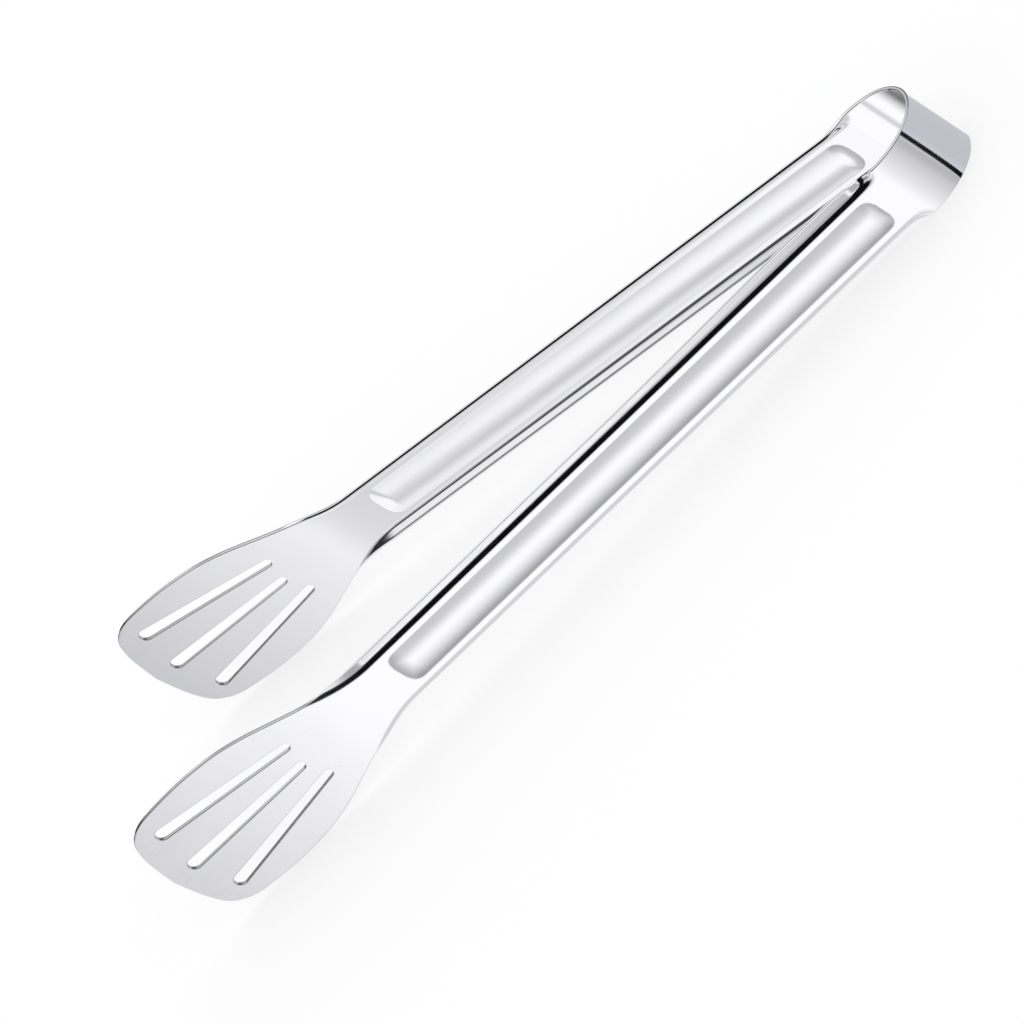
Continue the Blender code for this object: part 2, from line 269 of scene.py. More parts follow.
def centreLine(along):
    # middle of the sheet on the upper arm and its outward direction, as x and y
    table = np.linspace(bow["depth"], strip["length"], handle["lineSteps"])
    slope = np.tan(armSlope(table))
    rise = np.concatenate([[0.0], np.cumsum((slope[1:] + slope[:-1]) / 2.0 * np.diff(table))])
    turn = armSlope(along)
    past = np.maximum(along - flatStart, 0.0)    # the flat blade is measured along its own plane
    x = -np.minimum(along, flatStart) - past * np.cos(turn)
    y = np.interp(np.minimum(along, flatStart), table, rise) + past * np.sin(turn)
    y += bow["height"] / 2.0 - halfSheet
    return np.column_stack([x, y]), np.column_stack([np.sin(turn), np.cos(turn)])


def bowLine(angle):
    # half ellipse: x follows the cosine, y the sine, and the outward direction is their gradient
    depth = bow["depth"] - halfSheet
    half = bow["height"] / 2.0 - halfSheet
    points = np.column_stack([depth * np.cos(angle) - bow["depth"], half * np.sin(angle)])
    return points, unit(np.column_stack([half * np.cos(angle), depth * np.sin(angle)]))


def bendStart(along, neck):
    # where the fold begins across the sheet: it runs in from the edge over the neck on the curve
    # 1 - (1 - t)^power, keeps the handle's face, and runs out over the edge where the blade begins
    t = np.clip((along - neck["start"]) / neck["run"], 0.0, 1.0)
    runIn = 1.0 - (1.0 - t) ** handle["neckPower"]
    fading = 1.0 - ease((along - handleEnd) / blade["fade"])
    edge = edgePlace(along, neck) + strip["rimRadius"]
    return edge + (faceHalf - edge) * np.where(along < handleEnd, runIn, fading)


def bendWidth(along, neck):
    # width of the bend on the unfolded sheet: wider at the neck, narrowing smoothly to its own
    return bendLength * (1.0 + neck["wider"] * (1.0 - ease((along - neck["start"])
                                                           / neck["narrowing"])))


def grooveEnding(along, neck):
    # nearness to an end of the groove: 1 at its very end and 0 from the end length on
    fromEnd = np.minimum(along - neck["groove"], grooveEnd - along)
    return np.maximum(1.0 - fromEnd / groove["endLength"], 0.0)


def grooveInside(along, across, neck):
    # 1 on the middle line of the groove and 0 on its rim and outside: 1 - q^2, where q^p is the
    # p-th power of the nearness to an end plus the p-th power of the nearness to a side
    power = grooveEnding(along, neck) ** groove["roundness"]
    power = power + np.abs(across / grooveHalf) ** groove["roundness"]
    return np.maximum(1.0 - power ** (2.0 / groove["roundness"]), 0.0)


def grooveDepth(along, across, neck):
    # depth t^2 / (t + ease): a parabola whose steep start at the rim is softened
    inside = grooveInside(along, across, neck)
    return groove["depth"] * inside ** 2 / (inside + groove["rimEase"])


def section(along, across, neck):
    # across is measured on the unfolded sheet. Inside the face the sheet only dips into the
    # groove, then it turns on a circle over the bend, and the flange runs on straight.
    face = bendStart(along, neck)
    angle = handle["fold"] * ease((along - neck["start"]) / neck["turn"]) + handle["leastFold"]
    width = bendWidth(along, neck)
    radius = width / angle
    bent = np.clip((across - face) / width, 0.0, 1.0)
    past = np.maximum(across - face - width, 0.0)
    inward = radius * (1.0 - np.cos(angle * bent)) + past * np.sin(angle)
    z = np.minimum(across, face) + radius * np.sin(angle * bent) + past * np.cos(angle)
    return inward + grooveDepth(along, np.minimum(across, face), neck), z


def alongRows(neck):
    # close rows where the shape changes, wide ones where it is straight, and exact slot ends
    def rows(start, end, step):
        return np.linspace(start, end, int(np.ceil((end - start) / step)) + 1)

    fine, wide = strip["step"], strip["longStep"]
    endRun = groove["endLength"]
    parts = [rows(bow["depth"], neck["groove"] + endRun, fine),
             rows(neck["groove"] + endRun, grooveEnd - endRun, wide),
             rows(grooveEnd - endRun, flatStart, fine),
             rows(flatStart, pieceSeam, fine),
             rows(pieceSeam, strip["length"] - strip["rimRadius"], 2.0 * fine)]
    ends = np.concatenate([loop[[loop[:, 0].argmin(), loop[:, 0].argmax()], 0]
                           for loop in (middleLoop, sideLoop)] + [[insetOutline[-1, 0], pieceSeam]])
    tipOutline = insetOutline[insetOutline[:, 0] > strip["tipRows"] * strip["length"], 0]
    curves = np.concatenate([middleLoop[:, 0], sideLoop[:, 0], tipOutline])

    def clear(places):
        # only the places that aren't too near to an exact end
        near = np.abs(places[:, None] - ends[None, :]).min(axis=1)
        return places[near > strip["leastStep"] * fine]

    kept = np.unique(np.round(np.concatenate(parts + [clear(curves)]), 7))
    return np.unique(np.concatenate([clear(kept), ends]))


def handleColumns(along, neck):
    # unfolded places: closer toward the rim of the groove, a few on the margin, close on the bend
    edge = edgePlace(along, neck)[:, None]
    face = np.minimum(bendStart(along, neck)[:, None], edge - handle["leastBend"])
    turned = np.minimum(face + bendWidth(along, neck)[:, None],
                        edge - handle["leastFlange"] * (edge - face))
    crowded = 1.0 - (1.0 - np.linspace(0.0, 1.0, groove["columns"] + 1)) ** groove["crowding"]
    inner = grooveHalf * crowded[None, :] * np.ones_like(edge)
    margin = grooveHalf + (face - grooveHalf) * np.linspace(0.0, 1.0, handle["marginColumns"] + 1)
    bend = face + (turned - face) * np.linspace(0.0, 1.0, handle["bendColumns"] + 1)[1:]
    flange = turned + (edge - turned) * np.linspace(0.0, 1.0, handle["flangeColumns"] + 1)[1:]
    return inner, np.hstack([margin, bend, flange])


def bladeColumns(along, innerCount, outerCount):
    # even places between the middle slot, the side slot and the edge of the blade
    edge = halfWidth(along)
    rootEnd, tipEnd = sideInner[0], sideInner[-1]
    tipShare = tipEnd[1] / halfWidth(tipEnd[0])
    seam = np.interp(along, [rootEnd[0], tipEnd[0]], [rootEnd[1], tipEnd[1]])
    seam = np.where(along > tipEnd[0], tipShare * edge, seam)
    inSlot = (along > rootEnd[0]) & (along < tipEnd[0])
    innerWall = np.where(inSlot, np.interp(along, sideInner[:, 0], sideInner[:, 1]), seam)
    outerWall = np.where(inSlot, np.interp(along, sideOuter[:, 0], sideOuter[:, 1]), seam)
    inMiddle = (along > middleWall[0, 0]) & (along < middleWall[-1, 0])
    middle = np.where(inMiddle, np.interp(along, middleWall[:, 0], middleWall[:, 1]), 0.0)
    innerRamp = np.linspace(0.0, 1.0, innerCount)[None, :]
    outerRamp = np.linspace(0.0, 1.0, outerCount)[None, :]
    inner = middle[:, None] + (innerWall - middle)[:, None] * innerRamp
    outer = outerWall[:, None] + (edge - outerWall)[:, None] * outerRamp
    return inner, outer


def stripGrid(neck):
    # one row for each place along the strip and one column for each place across half of it
    angles = np.linspace(0.0, np.pi / 2.0, bow["steps"] + 1)[:-1]
    bowPoints, bowOut = bowLine(angles)
    along = alongRows(neck)
    armPoints, armOut = centreLine(along)
    along = np.concatenate([-bowPoints[:, 0], along])
    points = np.vstack([bowPoints, armPoints])
    out = np.vstack([bowOut, armOut])
    inner, outer = handleColumns(along, neck)
    bladeInner, bladeOuter = bladeColumns(along, inner.shape[1], outer.shape[1])
    mix = ease((along - flatStart) / (sideInner[0, 0] - flatStart))[:, None]
    across = np.hstack([inner + (bladeInner - inner) * mix, outer + (bladeOuter - outer) * mix])
    inward, z = section(along[:, None], across, neck)
    grid = np.zeros(across.shape + (3,))
    grid[..., :2] = points[:, None, :] - out[:, None, :] * inward[..., None]
    grid[..., 2] = z
    seam = inner.shape[1]    # the last inner and first outer column share one tangent
    tangent = np.gradient(grid, axis=1)
    tangent[:, seam - 1] = grid[:, seam + 1] - grid[:, seam - 2]
    tangent[:, seam] = tangent[:, seam - 1]
    tangent[:, 0] = (0.0, 0.0, 1.0)
    normal = unit(np.cross(np.gradient(grid, axis=0), tangent))
    flat = along > flatStart
    normal[flat] = np.append(out[-1], 0.0)
    length = np.concatenate([[0.0], np.cumsum(np.linalg.norm(np.diff(points, axis=0), axis=1))])
    return {"along": along, "grid": grid, "normal": normal, "across": across,
            "length": length, "innerCount": inner.shape[1], "neck": neck}


def quadFaces(rows, columns, start):
    # vertex numbers of the four corners of every cell of a grid
    cell = start + np.arange(rows - 1)[:, None] * columns + np.arange(columns - 1)[None, :]
    return np.stack([cell, cell + 1, cell + 1 + columns, cell + columns], axis=-1).reshape(-1, 4)


def rimRibbon(path, normal, away):
    # the edge of the sheet: a quarter circle, a straight wall and a second quarter circle,
    # carried along the path. away points from the material into the open.
    turn = np.linspace(0.0, np.pi / 2.0, strip["rimSteps"] + 1)
    radius = strip["rimRadius"]
    outwards = np.concatenate([radius * np.sin(turn), radius * np.sin(turn[::-1])])
    heights = halfSheet - radius + radius * np.cos(turn)
    heights = np.concatenate([heights, -heights[::-1]])
    return (path[:, None, :] + away[:, None, :] * outwards[None, :, None]
            + normal[:, None, :] * heights[None, :, None])


def pathEdge(path, normal, inside, closed):
    # direction across the path, in the sheet, pointing away from the material
    if closed:
        run = np.roll(path, -1, axis=0) - np.roll(path, 1, axis=0)
    else:
        run = np.gradient(path, axis=0)
    away = unit(np.cross(unit(run), normal))
    flip = np.sign(np.sum(away * (path - inside), axis=1, keepdims=True))
    return away * np.where(flip == 0.0, 1.0, flip)


def mirrorZ(points):
    return points * np.array([1.0, 1.0, -1.0])


finish = {
    "pressedRim": 0.10,      # share of the groove's depth over which its dull shoulder with painted shade sets in
    "pressedSide": 0.30,     # how dull the long shoulders are, and how dark their painted shade is
    "pressedEnd": 0.85,      # how dull the ends are, where the die pressed hardest, and how dark their painted shade is
    "pressedInside": 0.10,   # share of that on the inner face, which the die didn't touch
    "satinStart": 0.205,     # the satin of the blade fades in along the handle
    "satinEnd": 0.238,
    "shoulderInside": 0.55,  # on the inner face the dull end is a ring of painted shade round the flat middle
    "shoulderRun": 0.25,
    "noseShadeStart": 0.0105,      # painted shade inside the nose, with a duller finish, fading out by the next place
    "noseShadeEnd": 0.0180,
}


def finishMasks(along, across, neck):
    # the shoulders of the groove, dull and darkened by painted shade at the rim and polished in the
    # middle, the same as a ring round its end by the bow, and the satin blade
    inside = grooveInside(along, across, neck)
    dullAndShade = finish["pressedSide"] * (1.0 - inside)
    dullAndShade = dullAndShade + finish["pressedEnd"] * grooveEnding(along, neck)
    rim = ease(inside / finish["pressedRim"])
    ring = 1.0 - ease((inside - finish["shoulderInside"]) / finish["shoulderRun"])
    bowEnd = 1.0 - ease((along - neck["groove"]) / groove["endLength"])
    run = finish["satinEnd"] - finish["satinStart"]
    return rim * dullAndShade, rim * ring * bowEnd, ease((along - finish["satinStart"]) / run)


def sheetPart(data, rows):
    # vertices, faces and strip coordinates of the shell over a range of rows
    grid, normal = data["grid"][rows], data["normal"][rows]
    across, length = data["across"][rows], data["length"][rows]
    count = data["innerCount"]
    blocks, faces, coords = [], [], []
    total = 0

    def addGrid(points, u, v, pressedShare=0.0, insideShare=0.0):
        # every vertex also keeps its place on the strip and three masks: the dull shoulders with
        # painted shade, the satin, and the painted shade inside the nose
        nonlocal total
        blocks.append(points.reshape(-1, 3))
        faces.append(quadFaces(points.shape[0], points.shape[1], total))
        shape = points.shape[:2]
        u, v = np.broadcast_to(u, shape), np.broadcast_to(v, shape)
        place = np.interp(u, data["length"], data["along"])
        pressed, ring, satin = finishMasks(place, v, data["neck"])
        nose = 1.0 - ease((u - finish["noseShadeStart"]) / (finish["noseShadeEnd"] - finish["noseShadeStart"]))
        pressed = pressedShare * pressed + insideShare * ring
        coords.append(np.stack([u, v, np.zeros(shape), pressed, satin, insideShare * nose],
                               axis=-1).reshape(-1, 6))
        total += shape[0] * shape[1]

    for mirror in (False, True):
        base = mirrorZ(grid) if mirror else grid
        up = mirrorZ(normal) if mirror else normal
        sign = -1.0 if mirror else 1.0
        for band in (slice(0, count), slice(count, None)):
            for side, shares in ((1.0, (1.0, 0.0)), (-1.0, (finish["pressedInside"], 1.0))):
                addGrid(base[:, band] + up[:, band] * side * halfSheet, length[:, None],
                        sign * across[:, band], *shares)
    edge, up = grid[:, -1], normal[:, -1]
    inner = grid[:, -2]
    if across[-1, -1] < samePoint:      # the edge runs round the tip
        path = np.vstack([edge, mirrorZ(edge[:-1])[::-1]])
        normals = np.vstack([up, mirrorZ(up[:-1])[::-1]])
        inside = np.vstack([inner, mirrorZ(inner[:-1])[::-1]])
        backward = grid[0, 0] - grid[-1, 0]
        inside[len(edge) - 1] = path[len(edge) - 1] + backward * strip["behindTip"]
        lengths = np.concatenate([length, length[:-1][::-1]])
        sides = np.concatenate([across[:, -1], -across[:-1, -1][::-1]])
        away = pathEdge(path, normals, inside, False)
        addGrid(rimRibbon(path, normals, away), lengths[:, None], sides[:, None])
    else:
        away = pathEdge(edge, up, inner, False)
        ribbon = rimRibbon(edge, up, away)
        addGrid(ribbon, length[:, None], across[:, -1:])
        addGrid(mirrorZ(ribbon), length[:, None], -across[:, -1:])

    def addSlot(one, other, acrossOne, acrossOther):
        # the rim of a slot: a closed path along one wall and back along the other
        openRows = np.flatnonzero(np.abs(acrossOther - acrossOne) > noWidth)
        if not len(openRows):
            return
        span = np.arange(openRows[0] - 1, openRows[-1] + 2)
        path = np.vstack([one[span], other[span[1:-1]][::-1]])
        ups = np.repeat(normal[span[:1], 0], len(path), axis=0)
        centre = path.mean(axis=0)
        chord = np.vstack([other[span], one[span[1:-1]][::-1]])
        parted = np.linalg.norm(chord - path, axis=1, keepdims=True) > samePoint
        inside = 2.0 * path - np.where(parted, chord, centre)
        away = pathEdge(path, ups, inside, True)
        ribbon = rimRibbon(path, ups, away)
        ribbon = np.vstack([ribbon, ribbon[:1]])
        u = np.concatenate([length[span], length[span[1:-1]][::-1], length[span[:1]]])
        v = np.concatenate([acrossOne[span], acrossOther[span[1:-1]][::-1], acrossOne[span[:1]]])
        addGrid(ribbon, u[:, None], v[:, None])

    addSlot(grid[:, 0], mirrorZ(grid[:, 0]), across[:, 0], -across[:, 0])
    addSlot(grid[:, count - 1], grid[:, count], across[:, count - 1], across[:, count])
    addSlot(mirrorZ(grid[:, count - 1]), mirrorZ(grid[:, count]),
            -across[:, count - 1], -across[:, count])
    return np.vstack(blocks), np.vstack(faces), np.vstack(coords)


# the strip is turned so that the nose of the bow and the lower edges of the blades lie on the table
restAngle = np.arctan2(outline[:, 1] - halfStrip, outline[:, 0]).max()
onTable = (Matrix.Translation((highCorner.x - halfStrip * np.sin(restAngle), 0.0,
                               halfStrip * np.cos(restAngle)))
           @ Matrix.Rotation(restAngle, 4, "Y"))


def makePiece(name, part, side):
    # side is 1 for the upper arm and -1 for the lower one, which is its mirror image
    points, faces, coords = part
    placed = points * np.array([1.0, side, 1.0])
    mesh = bpy.data.meshes.new(name)
    mesh.from_pydata(placed, [], faces.tolist())
    attribute = mesh.attributes.new("stripCoords", "FLOAT_VECTOR", "POINT")
    attribute.data.foreach_set("vector", coords[:, :3].ravel())
    masks = mesh.attributes.new("finishAndShadeMasks", "FLOAT_VECTOR", "POINT")
    masks.data.foreach_set("vector", coords[:, 3:].ravel())
    mesh.transform(onTable)
    shell = bmesh.new()
    shell.from_mesh(mesh)
    bmesh.ops.remove_doubles(shell, verts=shell.verts, dist=samePoint)
    bmesh.ops.dissolve_degenerate(shell, edges=shell.edges, dist=noWidth)
    openEdges = [edge for edge in shell.edges if edge.is_boundary]
    bmesh.ops.holes_fill(shell, edges=openEdges, sides=0)
    bmesh.ops.recalc_face_normals(shell, faces=shell.faces)
    print(name, "open edges before the end caps", len(openEdges),
          "left", sum(edge.is_boundary for edge in shell.edges), "faces", len(shell.faces))
    shell.to_mesh(mesh)
    shell.free()
    mesh.shade_smooth()
    mesh.set_sharp_from_angle(angle=strip["sharpAngle"])
    layer = mesh.uv_layers.new(name="stripMap")
    spots = np.zeros(len(mesh.vertices) * 3)
    mesh.attributes["stripCoords"].data.foreach_get("vector", spots)
    corners = np.zeros(len(mesh.loops), dtype=int)
    mesh.loops.foreach_get("vertex_index", corners)
    layer.data.foreach_set("uv", spots.reshape(-1, 3)[corners, :2].ravel())
    piece = bpy.data.objects.new(name, mesh)
    bpy.context.scene.collection.objects.link(piece)
    return piece


def armParts(neck):
    # the shell of one arm, split where the blade begins
    data = stripGrid(neck)
    seamRow = int(np.flatnonzero(np.isclose(data["along"], pieceSeam))[0])
    print("rows", len(data["along"]), "columns", data["across"].shape[1])
    return sheetPart(data, slice(0, seamRow + 1)), sheetPart(data, slice(seamRow, None))


steel = {
    "polish": (0.92, 0.92, 0.93),
    "polishRoughness": 0.08,
    "pressed": (0.50, 0.50, 0.515),      # the steep shoulders of the groove, duller, darkened by painted shade
    "pressedRoughness": 0.24,
    "nose": (0.075, 0.075, 0.08),        # painted shade inside the nose
    "satin": (0.97, 0.97, 0.975),
    "satinRoughness": 0.22,
    "tipShade": (0.66, 0.66, 0.68),          # painted shade, darker toward the blade's tip
    "tipShadeStart": 0.238,
    "tipShadeEnd": 0.305,
    "lineShade": 0.90,                   # the polishing lines are this share of the satin
    "scratch": (0.60, 0.60, 0.61),
    "scratchRoughness": 0.10,
}

# Noise behind the grain: its detail, and the middle of its range that is stretched to 0 and 1
noiseLook = {
    "lineDetail": 3.0,
    "lineRange": (0.30, 0.70),
    "patchDetail": 2.0,
    "patchRange": (0.35, 0.65),
    "scratchDetail": 1.0,
    "scratchPeak": 0.80,                 # the noise at which a scratch is at its full strength
}


def socketGroup(name, inputs, outputs):
    # an empty node group with named inputs and outputs
    group = bpy.data.node_groups.new(name, "ShaderNodeTree")
    for label, kind, value in inputs:
        socket = group.interface.new_socket(label, in_out="INPUT", socket_type=kind)
        if value is not None:
            socket.default_value = value
    for label in outputs:
        group.interface.new_socket(label, in_out="OUTPUT", socket_type="NodeSocketFloat")
    return group, group.nodes.new("NodeGroupInput"), group.nodes.new("NodeGroupOutput")


def spread(tree, source, middle):
    # stretches the middle of a noise over the whole range from 0 to 1
    node = tree.nodes.new("ShaderNodeMapRange")
    node.inputs["From Min"].default_value = middle[0]
    node.inputs["From Max"].default_value = middle[1]
    tree.links.new(source, node.inputs["Value"])
    return node.outputs["Result"]


def stretchedNoise(tree, place, along, across, detail):
    # noise on the strip's own map, with so many spots for each metre along and across
    scale = tree.nodes.new("ShaderNodeCombineXYZ")
    tree.links.new(along, scale.inputs["X"])
    tree.links.new(across, scale.inputs["Y"])
    stretch = tree.nodes.new("ShaderNodeVectorMath")
    stretch.operation = "MULTIPLY"
    tree.links.new(place, stretch.inputs[0])
    tree.links.new(scale.outputs["Vector"], stretch.inputs[1])
    noise = tree.nodes.new("ShaderNodeTexNoise")
    noise.inputs["Scale"].default_value = 1.0
    noise.inputs["Detail"].default_value = detail
    tree.links.new(stretch.outputs["Vector"], noise.inputs["Vector"])
    return noise.outputs["Fac"]


def makeGrainGroup():
    # polishing lines that run along the strip, and the soft patches between them
    group, inside, outside = socketGroup(
        "polishingGrain",
        [("Place", "NodeSocketVector", None), ("Along", "NodeSocketFloat", 30.0),
         ("Across", "NodeSocketFloat", 5000.0), ("Patches", "NodeSocketFloat", 60.0)],
        ["Lines", "Patches"])
    place = inside.outputs["Place"]
    lines = stretchedNoise(group, place, inside.outputs["Along"], inside.outputs["Across"],
                           noiseLook["lineDetail"])
    patches = stretchedNoise(group, place, inside.outputs["Patches"], inside.outputs["Patches"],
                             noiseLook["patchDetail"])
    group.links.new(spread(group, lines, noiseLook["lineRange"]), outside.inputs["Lines"])
    group.links.new(spread(group, patches, noiseLook["patchRange"]), outside.inputs["Patches"])
    return group


def makeScratchGroup():
    # sparse hairline scratches from use: the peaks of a long thin noise, turned to one side
    group, inside, outside = socketGroup(
        "hairlineScratches",
        [("Place", "NodeSocketVector", None), ("Turn", "NodeSocketFloat", 0.4),
         ("Along", "NodeSocketFloat", 90.0), ("Across", "NodeSocketFloat", 3500.0),
         ("Rarity", "NodeSocketFloat", 0.70)],
        ["Scratches"])
    turned = group.nodes.new("ShaderNodeVectorRotate")
    turned.rotation_type = "Z_AXIS"
    group.links.new(inside.outputs["Place"], turned.inputs["Vector"])
    group.links.new(inside.outputs["Turn"], turned.inputs["Angle"])
    thin = stretchedNoise(group, turned.outputs["Vector"], inside.outputs["Along"],
                          inside.outputs["Across"], noiseLook["scratchDetail"])
    peaks = group.nodes.new("ShaderNodeMapRange")
    peaks.interpolation_type = "SMOOTHSTEP"
    peaks.inputs["From Max"].default_value = noiseLook["scratchPeak"]
    group.links.new(inside.outputs["Rarity"], peaks.inputs["From Min"])
    group.links.new(thin, peaks.inputs["Value"])
    group.links.new(peaks.outputs["Result"], outside.inputs["Scratches"])
    return group


grainGroup = makeGrainGroup()
scratchGroup = makeScratchGroup()


def makeSteel(name, look):
    # polished sheet with grain, duller on the pressed shoulders and satin where the mask says so;
    # painted shade darkens the shoulders, the nose and the tips
    material = bpy.data.materials.new(name)
    material.use_nodes = True
    tree = material.node_tree
    nodes, links = tree.nodes, tree.links
    shader = nodes["Principled BSDF"]
    shader.inputs["Metallic"].default_value = 1.0
    stripMap = nodes.new("ShaderNodeUVMap")
    stripMap.uv_map = "stripMap"
    marks = nodes.new("ShaderNodeAttribute")
    marks.attribute_name = "finishAndShadeMasks"
    masks = nodes.new("ShaderNodeSeparateXYZ")
    links.new(marks.outputs["Vector"], masks.inputs["Vector"])
    pressed, satin, nose = (masks.outputs[axis] for axis in "XYZ")

    def group(source, values):
        node = nodes.new("ShaderNodeGroup")
        node.node_tree = source
        links.new(stripMap.outputs["UV"], node.inputs["Place"])
        for label, value in values.items():
            node.inputs[label].default_value = value
        return node

    grain = group(grainGroup, look["grain"])
    scratches = group(scratchGroup, look["scratches"])

    def blendValue(factor, first, second):
        node = nodes.new("ShaderNodeMix")
        links.new(factor, node.inputs["Factor"])
        for socket, value in (("A", first), ("B", second)):
            if isinstance(value, float):
                node.inputs[socket].default_value = value
            else:
                links.new(value, node.inputs[socket])
        return node.outputs["Result"]

    def blendColour(factor, first, second):
        node = nodes.new("ShaderNodeMix")
        node.data_type = "RGBA"
        links.new(factor, node.inputs["Factor"])
        for socket, value in zip([s for s in node.inputs if s.type == "RGBA"], (first, second)):
            if isinstance(value, tuple):
                socket.default_value = value + (1.0,)
            else:
                links.new(value, socket)
        return [s for s in node.outputs if s.type == "RGBA"][0]

    def weigh(source, amount):
        node = nodes.new("ShaderNodeMath")
        node.operation = "MULTIPLY"
        node.inputs[1].default_value = amount
        links.new(source, node.inputs[0])
        return node.outputs["Value"]

    def add(first, second):
        node = nodes.new("ShaderNodeMath")
        links.new(first, node.inputs[0])
        links.new(second, node.inputs[1])
        return node.outputs["Value"]

    places = nodes.new("ShaderNodeSeparateXYZ")
    links.new(stripMap.outputs["UV"], places.inputs["Vector"])
    tipShade = nodes.new("ShaderNodeMapRange")
    tipShade.inputs["From Min"].default_value = steel["tipShadeStart"]
    tipShade.inputs["From Max"].default_value = steel["tipShadeEnd"]
    links.new(places.outputs["X"], tipShade.inputs["Value"])

    # painted shade: the colour is darkened on the groove's shoulders, inside the nose and toward
    # the blades' tips
    colour = blendColour(pressed, steel["polish"], steel["pressed"])
    colour = blendColour(nose, colour, steel["nose"])
    colour = blendColour(satin, colour, steel["satin"])
    colour = blendColour(tipShade.outputs["Result"], colour, steel["tipShade"])
    dark = tuple(steel["lineShade"] * part for part in steel["satin"])
    colour = blendColour(weigh(grain.outputs["Lines"], look["lineColour"]), colour, dark)
    colour = blendColour(weigh(scratches.outputs["Scratches"], look["scratchColour"]), colour,
                         steel["scratch"])
    links.new(colour, shader.inputs["Base Color"])

    rough = blendValue(pressed, steel["polishRoughness"], steel["pressedRoughness"])
    rough = blendValue(nose, rough, steel["pressedRoughness"])
    rough = blendValue(satin, rough, steel["satinRoughness"])
    rough = add(rough, weigh(grain.outputs["Patches"], look["patchRoughness"]))
    rough = add(rough, weigh(scratches.outputs["Scratches"], steel["scratchRoughness"]))
    links.new(rough, shader.inputs["Roughness"])

    bump = nodes.new("ShaderNodeBump")
    bump.inputs["Strength"].default_value = 1.0
    bump.inputs["Distance"].default_value = look["grainHeight"]
    links.new(grain.outputs["Lines"], bump.inputs["Height"])
    links.new(bump.outputs["Normal"], shader.inputs["Normal"])
    return material


# spots of each noise for each metre along and across the strip
grainSpots = {"Along": 25.0, "Across": 4500.0, "Patches": 70.0}
polished = makeSteel("polishedSteel", {
    "grain": grainSpots,
    "scratches": {"Turn": 0.35, "Along": 80.0, "Across": 3200.0, "Rarity": 0.70},
    "lineColour": 0.12, "scratchColour": 0.12, "patchRoughness": 0.02, "grainHeight": 6e-7})
satinFinish = makeSteel("satinSteel", {
    "grain": grainSpots,
    "scratches": {"Turn": -0.5, "Along": 90.0, "Across": 3000.0, "Rarity": 0.72},
    "lineColour": 0.16, "scratchColour": 0.12, "patchRoughness": 0.02, "grainHeight": 8e-7})

# each arm is one piece with its half of the bow, in place of the bow's and handle's parts, and its
# blade is a second piece carried by the arm's body
for tag, side in (("upper", 1.0), ("lower", -1.0)):
    body = tag + "_arm"
    armPart, bladePart = armParts(necks[tag])
    arm = makePiece("arm_" + tag, armPart, side)
    arm.data.materials.append(polished)
    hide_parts("bow_crown", "bow_shoulder_" + tag, "handle_" + tag)
    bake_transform(arm)
    plate = makePiece("spatula_" + tag, bladePart, side)
    plate.data.materials.append(satinFinish)
    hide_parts("blade_" + tag)
    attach(plate, body)
    for piece in (arm, plate):
        piece.visible_glossy = side > 0.0    # the upper arm's inner face mirrors the room alone
    print(tag, "arm made")

